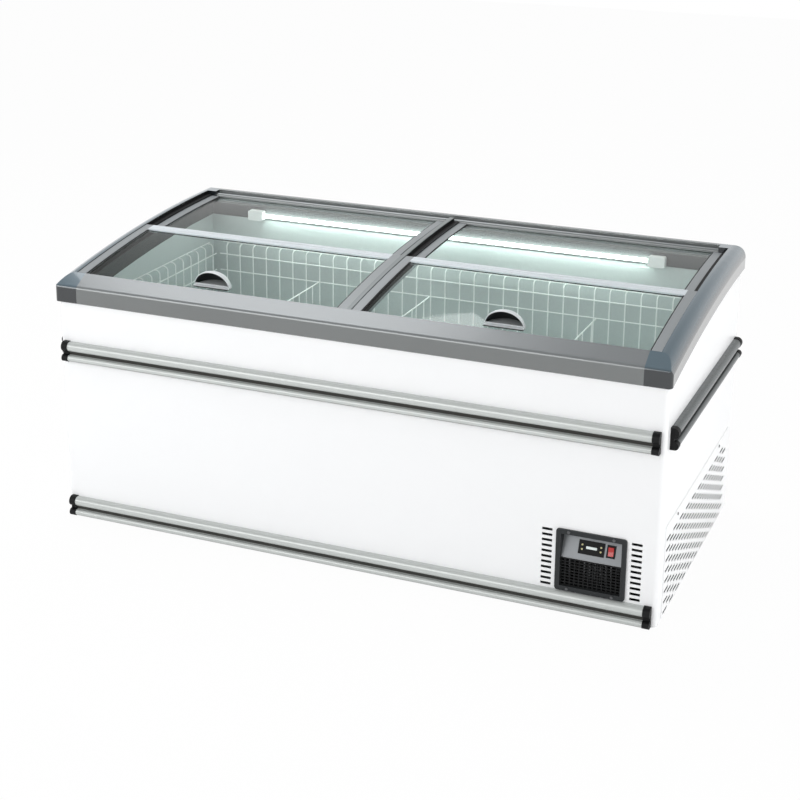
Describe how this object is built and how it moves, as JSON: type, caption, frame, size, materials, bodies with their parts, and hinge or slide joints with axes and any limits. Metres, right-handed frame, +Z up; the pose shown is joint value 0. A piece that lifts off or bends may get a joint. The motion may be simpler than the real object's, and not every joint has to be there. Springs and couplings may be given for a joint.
{
  "type": "chest freezer",
  "caption": "Low island display freezer with an arched top frame, sliding curved glass lids over an insulated tank with wire grids, and a machine compartment with controls at one end",
  "frame": {"origin": "on the floor, at the middle of the freezer's outline", "axes": "+X runs along the cabinet to the end with the machine compartment, +Y to the back, +Z up"},
  "size_m": [1.881, 0.9154, 0.832],
  "materials": {
    "white_sheet": "smooth white paint",
    "galvanised_sheet": "plain zinc-coated sheet",
    "tank_lining": "stucco-embossed sheet",
    "foam": "rigid foam",
    "coil_tube": "drawn tube",
    "rail_grey": "satin grey",
    "rail_blue_grey": "satin blue-grey",
    "mullion_grey": "satin grey",
    "strip_grey": "satin light grey",
    "handle_grey": "satin grey",
    "dark_plastic": "matt dark grey",
    "black_plastic": "matt black",
    "black_rubber": "matt",
    "bumper_grey": "satin warm grey",
    "fascia_silver": "satin silver",
    "display_black": "glossy black",
    "button_yellow": "glossy",
    "rocker_red": "glossy red",
    "screw_steel": "plain steel",
    "compressor_black": "satin black paint",
    "condenser_metal": "plain fins",
    "motor_metal": "satin paint",
    "fan_plastic": "matt",
    "white_plastic": "satin white",
    "white_wire": "white plastic-coated wire",
    "lid_glass": "clear, faint green",
    "lamp_glass": "frosted white tube"
  },
  "bodies": {
    "cabinet": {"front_panel": "white_sheet", "rear_panel": "white_sheet", "left_end_panel": "white_sheet", "right_end_panel": "white_sheet", "base_plate": "galvanised_sheet", "inner_tank": "tank_lining", "insulation_foam": "foam", "evaporator_coil": "coil_tube", "machine_bulkhead": "galvanised_sheet", "collar": "dark_plastic", "front_rail": "rail_grey", "rear_rail": "rail_grey", "left_end_rail": "rail_blue_grey", "right_end_rail": "rail_blue_grey", "mullion": "mullion_grey", "track_liners": "black_plastic", "upper_front_bumper": "bumper_grey", "lower_front_bumper": "bumper_grey", "left_bumper": "bumper_grey", "right_bumper": "bumper_grey", "bumper_end_caps": "black_plastic", "control_bezel": "dark_plastic", "control_fascia": "fascia_silver", "intake_grille": "black_plastic", "thermostat": "display_black", "switch_frame": "display_black", "vent_panel": "white_sheet", "screws": "screw_steel", "cable_gland": "black_rubber", "compressor": "compressor_black", "compressor_grommets": "black_rubber", "condenser": "condenser_metal", "fan_shroud": "dark_plastic", "fan_motor": "motor_metal", "lamp_holders": "white_plastic", "lamp_tube": "lamp_glass", "back_grid": "white_wire", "front_grid": "white_wire", "left_grid": "white_wire", "right_grid": "white_wire", "dividers": "white_wire"},
    "front_left_lid": {"front_left_glass": "lid_glass", "front_left_strips": "strip_grey", "front_left_crossbar": "strip_grey", "front_left_handle": "handle_grey"},
    "front_right_lid": {"front_right_glass": "lid_glass", "front_right_strips": "strip_grey", "front_right_crossbar": "strip_grey", "front_right_handle": "handle_grey"},
    "rear_left_lid": {"rear_left_glass": "lid_glass", "rear_left_strips": "strip_grey"},
    "rear_right_lid": {"rear_right_glass": "lid_glass", "rear_right_strips": "strip_grey"},
    "set_button": {"set_button": "button_yellow"},
    "defrost_button": {"defrost_button": "button_yellow"},
    "up_button": {"up_button": "button_yellow"},
    "down_button": {"down_button": "button_yellow"},
    "rocker": {"power_rocker": "rocker_red"},
    "fan": {"fan_blades": "fan_plastic"}
  },
  "joints": [
    {"name": "front_left_lid_slide", "type": "hinge", "parent": "cabinet", "child": "front_left_lid", "pos_m": [0, 0.45453, -4.036], "axis": [-1, 0, 0], "range_deg": [0, 4.68]},
    {"name": "rear_left_lid_slide", "type": "hinge", "parent": "cabinet", "child": "rear_left_lid", "pos_m": [0, 0.45453, -4.036], "axis": [1, 0, 0], "range_deg": [0, 4.57]},
    {"name": "front_right_lid_slide", "type": "hinge", "parent": "cabinet", "child": "front_right_lid", "pos_m": [0, 0.45453, -4.036], "axis": [-1, 0, 0], "range_deg": [0, 4.68]},
    {"name": "rear_right_lid_slide", "type": "hinge", "parent": "cabinet", "child": "rear_right_lid", "pos_m": [0, 0.45453, -4.036], "axis": [1, 0, 0], "range_deg": [0, 4.57]},
    {"name": "fan_spin", "type": "hinge", "parent": "cabinet", "child": "fan", "pos_m": [0.7505, -0.29983, 0.133], "axis": [0, 1, 0], "continuous": true},
    {"name": "rocker_tilt", "type": "hinge", "parent": "cabinet", "child": "rocker", "pos_m": [0.781, -0.41579, 0.18847], "axis": [-1, 0, 0], "range_deg": [0, 16]},
    {"name": "set_button_press", "type": "slide", "parent": "cabinet", "child": "set_button", "axis": [0, 0.9135, -0.4067], "range_m": [0, 0.0012], "stiffness_N_per_m": 300},
    {"name": "defrost_button_press", "type": "slide", "parent": "cabinet", "child": "defrost_button", "axis": [0, 0.9135, -0.4067], "range_m": [0, 0.0012], "stiffness_N_per_m": 300},
    {"name": "up_button_press", "type": "slide", "parent": "cabinet", "child": "up_button", "axis": [0, 0.9135, -0.4067], "range_m": [0, 0.0012], "stiffness_N_per_m": 300},
    {"name": "down_button_press", "type": "slide", "parent": "cabinet", "child": "down_button", "axis": [0, 0.9135, -0.4067], "range_m": [0, 0.0012], "stiffness_N_per_m": 300}
  ]
}
